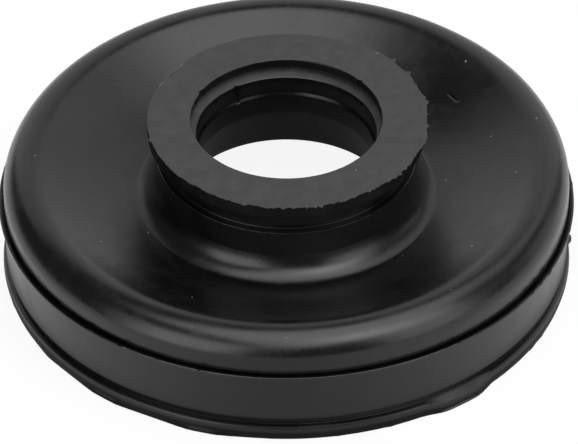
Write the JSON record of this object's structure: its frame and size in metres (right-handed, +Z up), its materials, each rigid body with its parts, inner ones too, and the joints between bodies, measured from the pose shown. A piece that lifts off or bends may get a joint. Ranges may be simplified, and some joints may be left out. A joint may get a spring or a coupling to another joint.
{
  "type": "rubber bellows",
  "caption": "Round black rubber bellows: a flanged neck with a lipped bore, one wide open fold and a banded rim, used as a dust boot over a turning or sliding shank.",
  "frame": {"origin": "centre of the rim's flat base, on the axis that the section is turned about", "axes": "+Z up the axis, from the base to the flange's top face; the slit in the bore's split ring lies 124 degrees from +X"},
  "size_m": [0.06, 0.06, 0.0184],
  "materials": {
    "rubber": "satin moulded black, with a matt trimmed flange face"
  },
  "bodies": {
    "root": {"bellows": "rubber"}
  },
  "joints": []
}
